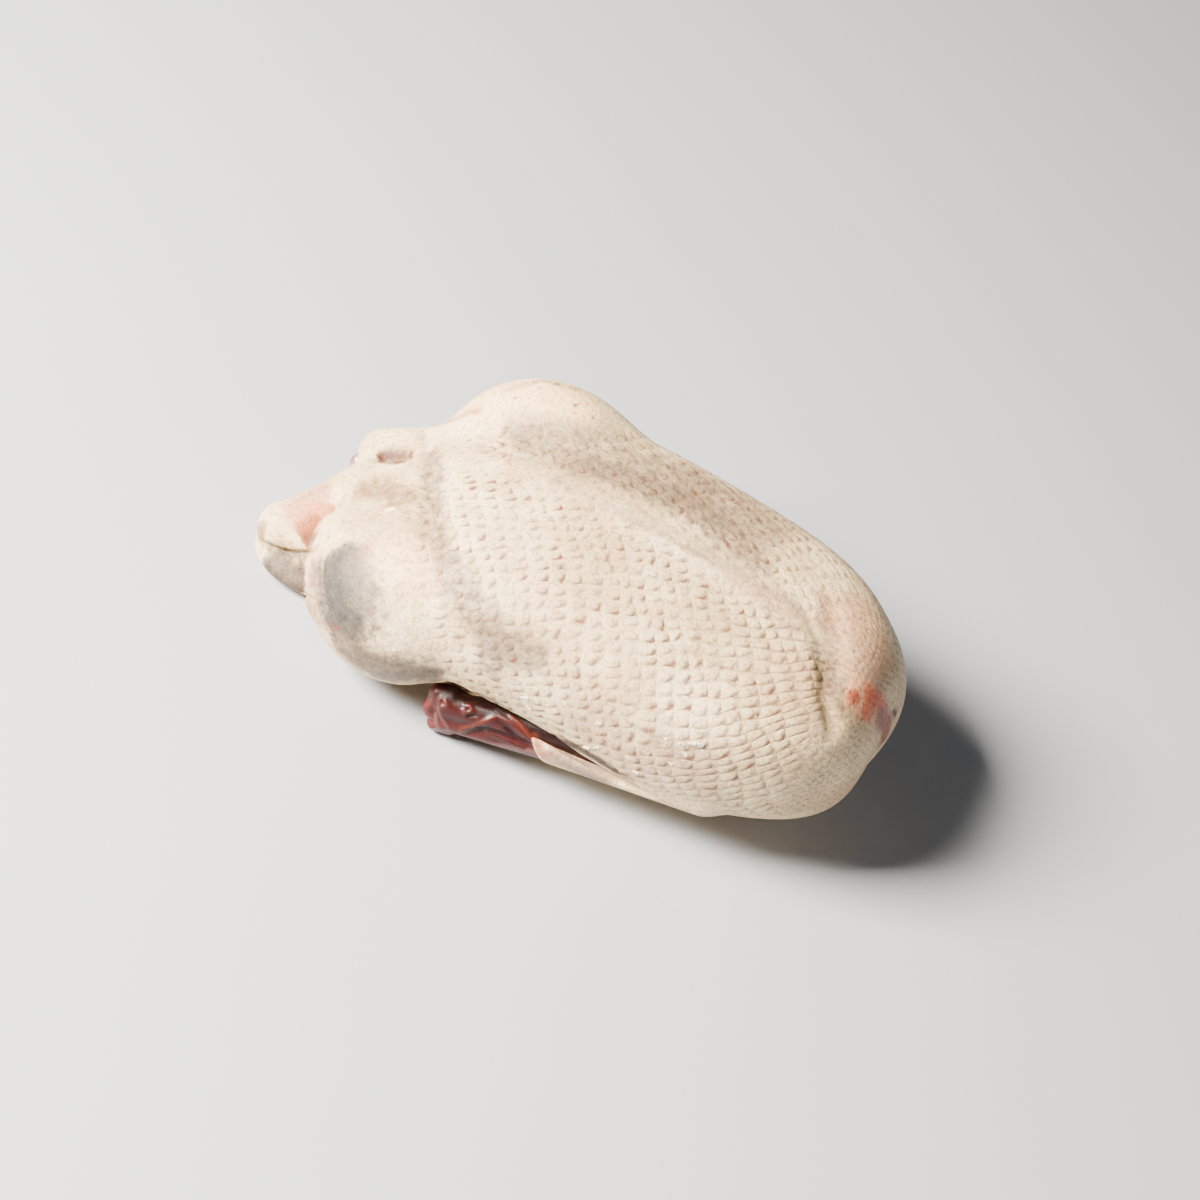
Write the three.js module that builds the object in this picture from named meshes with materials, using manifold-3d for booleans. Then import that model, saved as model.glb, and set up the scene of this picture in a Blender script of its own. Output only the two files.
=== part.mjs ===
// Whole raw oven-ready duck lying on its back, in millimetres.
// +X runs along the body towards the neck, +Y to the duck's right, +Z up through the breast bone.
// The skin, legs, tail and the skin sleeves of the wings are one solid. The bared upper-wing muscles,
// their elbow joints and the end of one shin bone are solids of their own, set into pockets of the skin.
// Every rounded form is a signed field (negative inside) and is turned into a closed mesh on a grid.

import * as THREE from "three";
import Module from "manifold-3d";

// Tail tip to neck end. The measures below are drawn for a bird of DRAWN_LENGTH and scaled to this one.
const LENGTH = 315;
const DRAWN_LENGTH = 343.3;

// Clearance between two solids that touch, and how deep the soft back is pressed flat.
const GAP = 0.38;
const PRESSED = 2.5;

// How fine the grids are, the shortest edge kept, and the rounds that even out a mesh.
const SKIN_CELL = 7.5;
const FLESH_CELL = 5;
const JOINT_CELL = 3.1;
const SHORTEST_EDGE = 0.1;
const EVENING_ROUNDS = 4;

// A box that holds the whole bird, and how far a mesh's box reaches past a limb's centre line.
const BIRD_BOX = { low: [-190, -116, -14], high: [182, 116, 150] };
const LIMB_REACH = 24;
const TABLE = { low: [-300, -300, -60], high: [300, 300, PRESSED] };

// The middle of the finished bird's footprint, in the coordinates used below.
const ORIGIN = [-2.8, -0.3, PRESSED];

const COLOURS = {
  skin: 0xe9dac6,
  flesh: 0x8a4340,
  cartilage: 0xd9cfd2,
  bone: 0xc9a9b4,
};

// The trunk: a soft oval tube through these cross-sections, rounded off at both ends.
const TRUNK = {
  ends: [-122, 164],
  x: [-150, -110, -60, 0, 60, 110, 160],
  halfWidth: [84, 96, 96, 89, 91, 92, 94],
  breast: [98, 112, 122, 126, 124, 129, 142],
  widest: [52, 63, 72, 77, 72, 69, 54],
  back: [12, 2, 0, 0, 0, 2, 14],
  breastPower: 3,
  backPower: 2,
  endPower: 2.5,
};

// How far the fillet reaches where two soft parts run into each other.
const FILLET = {
  crop: 14,
  belly: 16,
  underTail: 5,
  nearLeg: 22,
  farLeg: 12,
  hind: 12,
  tailLobe: 4,
  tail: 8,
  sleeve: 4,
  sleeveEdge: 3,
  wingGap: 2,
  strands: 2,
  knobs: 4,
};

// Soft masses blended onto the trunk: centre, radii and a turn about +Z in degrees.
const CROP = { at: [134, 30, 58], radii: [34, 38, 40] };
const BELLY = { at: [-90, 0, 38], radii: [54, 64, 38] };
const TAUT_SKIN = { at: [-120, -4, 46], radii: [24, 42, 18] };
const UNDER_TAIL = { at: [-119, -44, 22], radii: [13, 16, 12] };

// The tail stump is a blunt cone with a flatter lobe under it, parted by a slit.
const TAIL = { root: [-124, -4.5, 38.5], rootRadius: 31, tip: [-160, -19.5, 22.5], tipRadius: 15 };
const TAIL_LOBE = { at: [-146, -25, 11], radii: [27, 18, 9], turn: -12 };

// The near leg is folded tighter than the far one. Each is a thigh with the shin running back to the hock.
const THIGH_TURN = 14;
const KNEE_FROM_THIGH = [-12, 6, -4];
const LEGS = [
  {
    side: -1, at: [-85, -61, 54.5], radii: [43, 35, 43], kneeRadius: 26,
    hock: [-112, -47, 54], hockRadius: 22, softness: 24,
  },
  {
    side: 1, at: [-58.5, 60, 78], radii: [52, 34.5, 48.5], kneeRadius: 20,
    hock: [-135, 37, 49.5], hockRadius: 14.5, softness: 10,
  },
];
const SHIN_BONE = { from: [-136, 30, 48], to: [-145, 26, 46.5], radius: 5 };

// The upper wings lie along the back edge of the trunk and are cut off at the elbow.
// The skin ends in a slanting edge, the muscles run on to the joint, and a gap parts wing and trunk.
const WING = {
  shoulder: [94, -60, 46],
  elbow: [-38, -75, 20.5],
  sleeveRadius: [18.5, 11],
  sleeveEnd: 48,
  sleeveSlant: 0.7,
  fleshReach: 84,
};
const WING_GAP = { from: [-40, -74, 40], fromRadius: 6, to: [72, -80, 36.5], toRadius: 2.5 };
const MUSCLES = [
  { up: 4.5, out: 2, radius: [8.5, 8] },
  { up: -4.5, out: 2.5, radius: [8.5, 7.5] },
  { up: 0, out: -3, radius: [9.5, 9] },
];
const KNOBS = [
  { along: -6, up: 8.5, out: 1, radius: 5.5 },
  { along: -7, up: -0.5, out: 3, radius: 6 },
  { along: -5, up: -11, out: 2, radius: 5 },
];
const KNOB_DEPTH = 7;

// Folds of the skin: a line over the surface, its half width, and its height (minus is a groove).
const FOLD_FADE = 0.7;
const FOLDS = [
  { half: 8, height: 2.2, line: [[-74, 9, 112], [-13, 1, 125], [40, -3, 124], [96, 0, 122]] },
  { half: 10, height: -4, line: [[-117, 20, 80], [-103, -6, 95], [-90, -48, 101], [-74, -69, 102]] },
  { half: 8, height: -2, line: [[-74, -69, 102], [-58, -83, 95], [-44, -89, 81], [-28, -88, 61]] },
  { half: 9, height: -4, line: [[91, 14, 122], [113, -8, 120], [128, -38, 114], [138, -50, 98]] },
  { half: 5, height: -4, line: [[-137, 14, 62], [-128, 16, 67], [-117, 15, 79]] },
];

const add = (a, b) => a.map((v, i) => v + b[i]);
const minus = (a, b) => a.map((v, i) => v - b[i]);
const scaled = (a, s) => a.map((v) => v * s);
const dot = (a, b) => a[0] * b[0] + a[1] * b[1] + a[2] * b[2];
const size = (a) => Math.sqrt(dot(a, a));
const clamp = (v, low, high) => Math.min(high, Math.max(low, v));
const mirrored = (p) => [p[0], -p[1], p[2]];

function blend(a, b, reach) {
  const h = clamp(0.5 + (0.5 * (b - a)) / reach, 0, 1);
  return b + (a - b) * h - reach * h * (1 - h);
}

function carve(a, b, reach) {
  return -blend(-a, -b, reach);
}

// A smooth curve through values given at rising stations.
function through(stations, values) {
  const last = stations.length - 1;
  const slope = values.map((v, i) => {
    const low = Math.max(0, i - 1);
    const high = Math.min(last, i + 1);
    return (values[high] - values[low]) / (stations[high] - stations[low]);
  });
  return (x) => {
    const s = clamp(x, stations[0], stations[last]);
    let i = 0;
    while (i < last - 1 && s > stations[i + 1]) i += 1;
    const h = stations[i + 1] - stations[i];
    const t = (s - stations[i]) / h;
    const t2 = t * t;
    const t3 = t2 * t;
    return (2 * t3 - 3 * t2 + 1) * values[i] + (t3 - 2 * t2 + t) * h * slope[i]
      + (3 * t2 - 2 * t3) * values[i + 1] + (t3 - t2) * h * slope[i + 1];
  };
}

function ellipsoid({ at, radii, turn = 0 }) {
  const c = Math.cos((turn * Math.PI) / 180);
  const s = Math.sin((turn * Math.PI) / 180);
  return (p) => {
    const d = minus(p, at);
    const q = [(c * d[0] + s * d[1]) / radii[0], (c * d[1] - s * d[0]) / radii[1], d[2] / radii[2]];
    const k0 = size(q);
    const k1 = Math.hypot(q[0] / radii[0], q[1] / radii[1], q[2] / radii[2]) + 1e-9;
    return (k0 * (k0 - 1)) / k1;
  };
}

function capsule(a, b, radiusA, radiusB) {
  const axis = minus(b, a);
  const square = dot(axis, axis);
  return (p) => {
    const d = minus(p, a);
    const t = clamp(dot(d, axis) / square, 0, 1);
    return size(minus(d, scaled(axis, t))) - (radiusA + (radiusB - radiusA) * t);
  };
}

function slope(field, p, step = 0.25) {
  return [0, 1, 2].map((i) => {
    const ahead = [...p];
    const behind = [...p];
    ahead[i] += step;
    behind[i] -= step;
    return (field(ahead) - field(behind)) / (2 * step);
  });
}

function trunk() {
  const [halfWidth, breast, widest, back] = ["halfWidth", "breast", "widest", "back"]
    .map((name) => through(TRUNK.x, TRUNK[name]));
  const middle = (TRUNK.ends[0] + TRUNK.ends[1]) / 2;
  const halfLength = (TRUNK.ends[1] - TRUNK.ends[0]) / 2;
  const level = ([x, y, z]) => {
    const above = z > widest(x);
    const height = above ? breast(x) - widest(x) : widest(x) - back(x);
    const power = above ? TRUNK.breastPower : TRUNK.backPower;
    const across = Math.abs(y) / halfWidth(x);
    const upright = Math.abs(z - widest(x)) / height;
    const round = (across ** power + upright ** power) ** (TRUNK.endPower / power);
    const along = Math.abs(x - middle) / halfLength;
    return (round + along ** TRUNK.endPower + 1e-9) ** (1 / TRUNK.endPower) - 1;
  };
  return (p) => level(p) / (size(slope(level, p)) + 1e-4);
}

function leg({ side, at, radii, kneeRadius, hock, hockRadius, softness }) {
  const thigh = ellipsoid({ at, radii, turn: side * THIGH_TURN });
  const [back, inwards, down] = KNEE_FROM_THIGH;
  const shin = capsule(add(at, [back, -side * inwards, down]), hock, kneeRadius, hockRadius);
  return (p) => blend(thigh(p), shin(p), softness);
}

// Directions of the near wing: along it from the elbow, up across it, and outwards.
function wingAxes() {
  const along = scaled(minus(WING.shoulder, WING.elbow), 1 / size(minus(WING.shoulder, WING.elbow)));
  const up = minus([0, 0, 1], scaled(along, along[2]));
  const upward = scaled(up, 1 / size(up));
  const out = [
    along[1] * upward[2] - along[2] * upward[1],
    along[2] * upward[0] - along[0] * upward[2],
    along[0] * upward[1] - along[1] * upward[0],
  ];
  return { along, upward, out };
}

function wingPoint(along, up = 0, out = 0) {
  const axes = wingAxes();
  return [scaled(axes.along, along), scaled(axes.upward, up), scaled(axes.out, out)]
    .reduce(add, WING.elbow);
}

function wingSleeve() {
  const { along, upward } = wingAxes();
  const tube = capsule(WING.shoulder, WING.elbow, ...WING.sleeveRadius);
  const cut = minus(along, scaled(upward, WING.sleeveSlant));
  const face = scaled(cut, 1 / size(cut));
  const edge = wingPoint(WING.sleeveEnd);
  return (p) => carve(tube(p), -dot(minus(p, edge), face), FILLET.sleeveEdge);
}

function wingFlesh() {
  const strands = MUSCLES.map(({ up, out, radius }) => (
    capsule(wingPoint(WING.fleshReach, up, out), wingPoint(0, up, out), ...radius)));
  return (p) => strands.map((strand) => strand(p)).reduce((a, b) => blend(a, b, FILLET.strands));
}

function wingKnuckle() {
  const knobs = KNOBS.map(({ along, up, out, radius }) => (
    capsule(wingPoint(along, up, out), wingPoint(along + KNOB_DEPTH, up, out), radius, radius)));
  return (p) => knobs.map((knob) => knob(p)).reduce((a, b) => blend(a, b, FILLET.knobs));
}

function onFarSide(field) {
  return (p) => field(mirrored(p));
}

// A fold fades in and out over the first and last part of its line.
function foldHeight(p) {
  let total = 0;
  for (const { half, height, line } of FOLDS) {
    const stretches = line.length - 1;
    let nearest = Infinity;
    let along = 0;
    for (let i = 0; i < stretches; i += 1) {
      const axis = minus(line[i + 1], line[i]);
      const t = clamp(dot(minus(p, line[i]), axis) / dot(axis, axis), 0, 1);
      const distance = size(minus(p, add(line[i], scaled(axis, t))));
      if (distance < nearest) {
        nearest = distance;
        along = (i + t) / stretches;
      }
    }
    const fade = Math.sin(Math.PI * along) ** FOLD_FADE;
    total += height * fade * Math.exp(-2 * (nearest / half) ** 2);
  }
  return total;
}

function skin() {
  const body = trunk();
  const crop = ellipsoid(CROP);
  const belly = ellipsoid(BELLY);
  const taut = ellipsoid(TAUT_SKIN);
  const tail = capsule(TAIL.root, TAIL.tip, TAIL.rootRadius, TAIL.tipRadius);
  const lobe = ellipsoid(TAIL_LOBE);
  const underTail = ellipsoid(UNDER_TAIL);
  const [near, far] = LEGS.map(leg);
  const sleeve = wingSleeve();
  const farSleeve = onFarSide(sleeve);
  const gap = capsule(WING_GAP.from, WING_GAP.to, WING_GAP.fromRadius, WING_GAP.toRadius);
  const farGap = onFarSide(gap);
  return (p) => {
    const front = blend(body(p), crop(p), FILLET.crop);
    const belt = blend(blend(taut(p), belly(p), FILLET.belly), underTail(p), FILLET.underTail);
    const hind = blend(blend(belt, near(p), FILLET.nearLeg), far(p), FILLET.farLeg);
    const rump = blend(tail(p), lobe(p), FILLET.tailLobe);
    const whole = blend(blend(front, hind, FILLET.hind), rump, FILLET.tail);
    const winged = blend(blend(whole, sleeve(p), FILLET.sleeve), farSleeve(p), FILLET.sleeve);
    return carve(carve(winged, -gap(p), FILLET.wingGap), -farGap(p), FILLET.wingGap) - foldHeight(p);
  };
}

// Walks the grid cells that the surface crosses and puts one corner in each, moved onto the surface.
function meshOf(field, low, high, cell) {
  const count = low.map((v, i) => Math.ceil((high[i] - v) / cell) + 1);
  const index = (i, j, k) => (i * count[1] + j) * count[2] + k;
  const place = (i, j, k) => [low[0] + i * cell, low[1] + j * cell, low[2] + k * cell];
  const level = new Float64Array(count[0] * count[1] * count[2]);
  for (let i = 0; i < count[0]; i += 1) {
    for (let j = 0; j < count[1]; j += 1) {
      for (let k = 0; k < count[2]; k += 1) level[index(i, j, k)] = field(place(i, j, k));
    }
  }
  const corners = [];
  const cornerOf = new Map();
  const steps = [0, 1, 2, 3, 4, 5, 6, 7].map((n) => [n & 1, (n >> 1) & 1, (n >> 2) & 1]);
  for (let i = 0; i + 1 < count[0]; i += 1) {
    for (let j = 0; j + 1 < count[1]; j += 1) {
      for (let k = 0; k + 1 < count[2]; k += 1) {
        const crossings = [];
        steps.forEach((a, n) => steps.slice(n + 1).forEach((b) => {
          if (Math.abs(a[0] - b[0]) + Math.abs(a[1] - b[1]) + Math.abs(a[2] - b[2]) !== 1) return;
          const va = level[index(i + a[0], j + a[1], k + a[2])];
          const vb = level[index(i + b[0], j + b[1], k + b[2])];
          if (va < 0 === vb < 0) return;
          const t = va / (va - vb);
          crossings.push(a.map((v, axis) => v + (b[axis] - v) * t));
        }));
        if (crossings.length === 0) continue;
        const mean = scaled(crossings.reduce(add), 1 / crossings.length);
        cornerOf.set(index(i, j, k), corners.length);
        corners.push(add(place(i, j, k), scaled(mean, cell)));
      }
    }
  }
  const quads = [];
  const turns = [[0, 1, 2], [1, 2, 0], [2, 0, 1]];
  for (let i = 1; i + 1 < count[0]; i += 1) {
    for (let j = 1; j + 1 < count[1]; j += 1) {
      for (let k = 1; k + 1 < count[2]; k += 1) {
        const inside = level[index(i, j, k)] < 0;
        for (const [a, b, c] of turns) {
          const next = [i, j, k];
          next[a] += 1;
          if (inside === level[index(...next)] < 0) continue;
          const ring = [[0, 0], [-1, 0], [-1, -1], [0, -1]].map(([u, v]) => {
            const at = [i, j, k];
            at[b] += u;
            at[c] += v;
            return cornerOf.get(index(...at));
          });
          quads.push(inside ? ring : ring.reverse());
        }
      }
    }
  }
  settle(corners, quads, field, cell);
  return { corners, triangles: quads.flatMap((q) => split(q, corners)) };
}

// Evens out the corners and keeps them on the surface.
function settle(corners, quads, field, cell) {
  const near = corners.map(() => new Set());
  for (const q of quads) q.forEach((v, n) => near[v].add(q[(n + 1) % 4]).add(q[(n + 3) % 4]));
  const ontoSurface = (p) => {
    const g = slope(field, p);
    const step = clamp(field(p) / (dot(g, g) + 1e-6), -cell / 2, cell / 2);
    return minus(p, scaled(g, step));
  };
  for (let round = 0; round < EVENING_ROUNDS; round += 1) {
    const even = corners.map((p, n) => {
      const around = [...near[n]].map((v) => corners[v]);
      return add(scaled(p, 0.5), scaled(around.reduce(add), 0.5 / around.length));
    });
    even.forEach((p, n) => {
      corners[n] = ontoSurface(ontoSurface(p));
    });
  }
}

function split([a, b, c, d], corners) {
  const ac = size(minus(corners[a], corners[c]));
  const bd = size(minus(corners[b], corners[d]));
  return ac < bd ? [[a, b, c], [a, c, d]] : [[a, b, d], [b, c, d]];
}

const wasm = await Module();
wasm.setup();

function solidOf(field, low, high, cell) {
  const { corners, triangles } = meshOf(field, low, high, cell);
  return new wasm.Manifold(new wasm.Mesh({
    numProp: 3,
    vertProperties: new Float32Array(corners.flat()),
    triVerts: new Uint32Array(triangles.flat()),
  }));
}

function slab(low, high) {
  const box = new THREE.BoxGeometry(...minus(high, low));
  box.translate(...scaled(add(low, high), 0.5));
  const corners = [];
  const seen = new Map();
  const order = [...box.index.array].map((v) => {
    const p = [0, 1, 2].map((i) => box.attributes.position.array[3 * v + i]);
    const key = p.join(",");
    if (!seen.has(key)) {
      seen.set(key, corners.length);
      corners.push(p);
    }
    return seen.get(key);
  });
  return new wasm.Manifold(new wasm.Mesh({
    numProp: 3,
    vertProperties: new Float32Array(corners.flat()),
    triVerts: new Uint32Array(order),
  }));
}

function meshNode(name, solid, colour, roughness) {
  const { vertProperties, triVerts } = solid.simplify(SHORTEST_EDGE).getMesh();
  const geometry = new THREE.BufferGeometry();
  geometry.setAttribute("position", new THREE.BufferAttribute(vertProperties, 3));
  geometry.setIndex(new THREE.BufferAttribute(triVerts, 1));
  geometry.computeVertexNormals();
  const material = new THREE.MeshStandardMaterial({ color: colour, roughness, metalness: 0 });
  const mesh = new THREE.Mesh(geometry, material);
  mesh.name = name;
  return mesh;
}

// The box round a field's solid: everything within reach of its points.
function around(points, reach) {
  const low = [0, 1, 2].map((i) => Math.min(...points.map((p) => p[i])) - reach);
  const high = [0, 1, 2].map((i) => Math.max(...points.map((p) => p[i])) + reach);
  return [low, high];
}

function grown(field) {
  return (p) => field(p) - GAP;
}

// A cut can leave loose scraps, so only the largest body is kept.
function largestBody(solid) {
  return solid.decompose().reduce((a, b) => (a.volume() > b.volume() ? a : b));
}

const fleshSpan = [wingPoint(WING.fleshReach), wingPoint(0)];
const jointSpan = [wingPoint(0), wingPoint(0)];
const sides = [
  { name: "near", place: (p) => p, view: (field) => field },
  { name: "far", place: mirrored, view: onFarSide },
];

const duck = new THREE.Group();
const table = slab(TABLE.low, TABLE.high);
let body = solidOf(skin(), BIRD_BOX.low, BIRD_BOX.high, SKIN_CELL).subtract(table);

for (const { name, place, view } of sides) {
  const fleshBox = around(fleshSpan.map(place), LIMB_REACH);
  const jointBox = around(jointSpan.map(place), LIMB_REACH);
  const flesh = view(wingFlesh());
  const joint = view(wingKnuckle());
  const jointPocket = solidOf(grown(joint), ...jointBox, JOINT_CELL);
  const fleshSolid = largestBody(solidOf(flesh, ...fleshBox, FLESH_CELL).subtract(jointPocket));
  body = body.subtract(solidOf(grown(flesh), ...fleshBox, FLESH_CELL)).subtract(jointPocket);
  duck.add(meshNode(`wing_flesh_${name}`, fleshSolid, COLOURS.flesh, 0.35));
  duck.add(meshNode(`wing_knuckle_${name}`, solidOf(joint, ...jointBox, JOINT_CELL), COLOURS.cartilage, 0.3));
}

const shin = capsule(SHIN_BONE.from, SHIN_BONE.to, SHIN_BONE.radius, SHIN_BONE.radius);
const shinBox = around([SHIN_BONE.from, SHIN_BONE.to], LIMB_REACH);
body = body.subtract(solidOf(grown(shin), ...shinBox, JOINT_CELL));
duck.add(meshNode("shin_bone_far", solidOf(shin, ...shinBox, JOINT_CELL), COLOURS.bone, 0.35));
duck.add(meshNode("carcass", largestBody(body), COLOURS.skin, 0.5));
duck.position.set(...scaled(ORIGIN, -LENGTH / DRAWN_LENGTH));
duck.scale.setScalar(LENGTH / DRAWN_LENGTH);

export default duck;
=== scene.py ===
# %% [markdown]
# A whole raw duck on its back, as a lesson in cells.
# A plucked bird is a soft, closed form. It could be sculpted by hand, but a written form can be
# measured and changed. So it is a signed field: a function that is negative inside the bird and
# positive outside. The same field gives the solids in the frame.

# %% Tools and the fixed frame
import math

import bpy
import numpy as np
from mathutils import Matrix, Vector
from mathutils.bvhtree import BVHTree


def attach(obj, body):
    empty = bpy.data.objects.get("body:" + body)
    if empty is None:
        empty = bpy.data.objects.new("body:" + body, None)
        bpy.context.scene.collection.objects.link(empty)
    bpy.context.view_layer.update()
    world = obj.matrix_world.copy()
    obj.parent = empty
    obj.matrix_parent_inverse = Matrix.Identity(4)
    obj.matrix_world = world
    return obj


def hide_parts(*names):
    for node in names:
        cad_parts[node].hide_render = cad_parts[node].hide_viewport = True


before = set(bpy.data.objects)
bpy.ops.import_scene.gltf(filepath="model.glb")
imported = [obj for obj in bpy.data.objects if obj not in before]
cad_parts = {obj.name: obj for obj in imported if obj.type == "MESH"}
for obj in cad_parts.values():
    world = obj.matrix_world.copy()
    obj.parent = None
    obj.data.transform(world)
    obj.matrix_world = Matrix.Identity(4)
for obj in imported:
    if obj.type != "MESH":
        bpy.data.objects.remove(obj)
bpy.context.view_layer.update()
# The form is drawn 343.3 mm long. MM turns its millimetres into metres at the real length.
LENGTH, DRAWN_LENGTH = 315, 343.3
MM = 0.001 * LENGTH / DRAWN_LENGTH
print("solids in the frame:", sorted(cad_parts))

# %% [markdown]
# The measures, in millimetres and degrees. +X runs towards the neck, +Y to the far side and +Z
# through the breast. The trunk is a tube through seven cross-sections, and legs, belly, crop and
# tail are round masses laid against it.

# %% Measures of the bird
# The soft back is pressed flat at this height, and the frame's origin lies there.
PRESSED = 2.5
ORIGIN = np.array([-2.8, -0.3, PRESSED])
# The sides of the grid cells for the skin and for the cut wing.
SKIN_CELL = 1.62
FLESH_CELL = 0.8

TRUNK_ENDS = (-122, 164)
STATIONS = [-150, -110, -60, 0, 60, 110, 160]
HALF_WIDTH = [84, 96, 96, 89, 91, 92, 94]
BREAST = [98, 112, 122, 126, 124, 129, 142]
WIDEST = [52, 63, 72, 77, 72, 69, 54]
BACK = [12, 2, 0, 0, 0, 2, 14]
BREAST_POWER = 3.0
BACK_POWER = 2.0
END_POWER = 2.5

CROP = dict(at=(134, 30, 58), radii=(34, 38, 40))
BELLY = dict(at=(-90, 0, 38), radii=(54, 64, 38))
TAUT_SKIN = dict(at=(-120, -4, 46), radii=(24, 42, 18))
UNDER_TAIL = dict(at=(-119, -44, 22), radii=(13, 16, 12))
TAIL = dict(start=(-124, -4.5, 38.5), end=(-160, -19.5, 22.5), radii=(31, 15))
TAIL_LOBE = dict(at=(-146, -25, 11), radii=(27, 18, 9), turn=-12)

NEAR_THIGH = dict(at=(-85, -61, 54.5), radii=(43, 35, 43), turn=-14)
NEAR_SHIN = dict(start=(-97, -55, 50.5), end=(-112, -47, 54), radii=(26, 22))
FAR_THIGH = dict(at=(-58.5, 60, 78), radii=(52, 34.5, 48.5), turn=14)
FAR_SHIN = dict(start=(-70.5, 54, 74), end=(-135, 37, 49.5), radii=(20, 14.5))
SHIN_BONE = dict(start=(-136, 30, 48), end=(-145, 26, 46.5), radii=(5, 5))

SHOULDER = np.array([94.0, -60.0, 46.0])
ELBOW = np.array([-38.0, -75.0, 20.5])
SLEEVE_RADII = (18.5, 11)
SLEEVE_END = 48
# The wing's skin ends slantwise. The solid slants the other way, and this follows the photograph.
SLEEVE_SLANT = -0.5
FLESH_REACH = 84
WING_GAP = dict(start=(-40, -74, 40), end=(72, -80, 36.5), radii=(6, 2.5))
MUSCLES = [(4.5, 2, (8.5, 8)), (-4.5, 2.5, (8.5, 7.5)), (0, -3, (9.5, 9))]
KNOBS = [(-6, 8.5, 1, 5.5), (-7, -0.5, 3, 6), (-5, -11, 2, 5)]
KNOB_DEPTH = 7

# A fold is a line over the surface with a half width and a height. A groove has a height below 0.
FOLD_FADE = 0.7
FOLDS = [
    (8, 2.2, [(-74, 9, 112), (-13, 1, 125), (40, -3, 124), (96, 0, 122)]),
    (10, -4, [(-117, 20, 80), (-103, -6, 95), (-90, -48, 101), (-74, -69, 102)]),
    (8, -2, [(-74, -69, 102), (-58, -83, 95), (-44, -89, 81), (-28, -88, 61)]),
    (9, -4, [(91, 14, 122), (113, -8, 120), (128, -38, 114), (138, -50, 98)]),
    (5, -4, [(-137, 14, 62), (-128, 16, 67), (-117, 15, 79)]),
]
print("trunk from", TRUNK_ENDS[0], "to", TRUNK_ENDS[1], "mm, widest", 2 * max(HALF_WIDTH), "mm")

# %% [markdown]
# Fields. Metaballs could stand for flesh too, but their fillets can't be set one by one. So it is
# ellipsoids and tapered capsules, joined by blend() with a fillet of a given reach.

# %% Fields and how they blend
def smooth(low, high, x):
    """0 below low, 1 above high, and an even rise between."""
    t = np.clip((x - low) / (high - low), 0, 1)
    return t * t * (3 - 2 * t)


def blend(a, b, reach):
    h = np.clip(0.5 + 0.5 * (b - a) / reach, 0, 1)
    return b + (a - b) * h - reach * h * (1 - h)


def carve(a, b, reach):
    return -blend(-a, -b, reach)


def ellipsoid(p, at, radii, turn=0):
    c, s = math.cos(math.radians(turn)), math.sin(math.radians(turn))
    d = p - np.array(at, float)
    q = np.stack([c * d[:, 0] + s * d[:, 1], c * d[:, 1] - s * d[:, 0], d[:, 2]], 1)
    radii = np.array(radii, float)
    k0 = np.linalg.norm(q / radii, axis=1)
    k1 = np.linalg.norm(q / radii**2, axis=1) + 1e-9
    return k0 * (k0 - 1) / k1


def capsule(p, start, end, radii):
    start, axis = np.array(start, float), np.subtract(end, start).astype(float)
    t = np.clip((p - start) @ axis / (axis @ axis), 0, 1)
    gap = np.linalg.norm(p - start - t[:, None] * axis, axis=1)
    return gap - (radii[0] + (radii[1] - radii[0]) * t)


def through(values):
    """A smooth curve through values given at the stations, as a function of x."""
    x0, v = np.array(STATIONS, float), np.array(values, float)
    low = np.maximum(np.arange(len(v)) - 1, 0)
    high = np.minimum(np.arange(len(v)) + 1, len(v) - 1)
    slope = (v[high] - v[low]) / (x0[high] - x0[low])

    def at(x):
        x = np.clip(x, x0[0], x0[-1])
        i = np.clip(np.searchsorted(x0, x, side="right") - 1, 0, len(v) - 2)
        h = x0[i + 1] - x0[i]
        t = (x - x0[i]) / h
        ease = 3 * t**2 - 2 * t**3
        bow = (t**3 - 2 * t**2 + t) * h * slope[i] + (t**3 - t**2) * h * slope[i + 1]
        return v[i] + (v[i + 1] - v[i]) * ease + bow

    return at


half_width, breast, widest, back = (through(v) for v in (HALF_WIDTH, BREAST, WIDEST, BACK))


def trunk_level(p):
    x, y, z = p.T
    middle, half_length = sum(TRUNK_ENDS) / 2, (TRUNK_ENDS[1] - TRUNK_ENDS[0]) / 2
    rise = z - widest(x)
    height = np.where(rise > 0, breast(x) - widest(x), widest(x) - back(x))
    power = np.where(rise > 0, BREAST_POWER, BACK_POWER)
    across = np.abs(y) / half_width(x) + 1e-9
    round_part = (across**power + (np.abs(rise) / height + 1e-9) ** power) ** (END_POWER / power)
    along = np.abs(x - middle) / half_length
    return (round_part + along**END_POWER + 1e-9) ** (1 / END_POWER) - 1


def gradient(field, p, step=0.25):
    steps = np.eye(3) * step
    return np.stack([(field(p + s) - field(p - s)) / (2 * step) for s in steps], 1)


def trunk(p, step=0.5):
    level = trunk_level(p)
    ahead = [(trunk_level(p + s) - level) / step for s in np.eye(3) * step]
    return level / (np.linalg.norm(ahead, axis=0) + 1e-4)


def mirrored(p):
    return p * [1, -1, 1]


wing_along = (SHOULDER - ELBOW) / np.linalg.norm(SHOULDER - ELBOW)
wing_up = np.array([0, 0, 1]) - wing_along * wing_along[2]
wing_up /= np.linalg.norm(wing_up)
wing_out = np.cross(wing_along, wing_up)


def wing_point(along, up=0, out=0):
    return ELBOW + along * wing_along + up * wing_up + out * wing_out


def sleeve(p):
    cut = wing_along - SLEEVE_SLANT * wing_up
    edge = (p - wing_point(SLEEVE_END)) @ (cut / np.linalg.norm(cut))
    return carve(capsule(p, SHOULDER, ELBOW, SLEEVE_RADII), -edge, 3)


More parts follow.
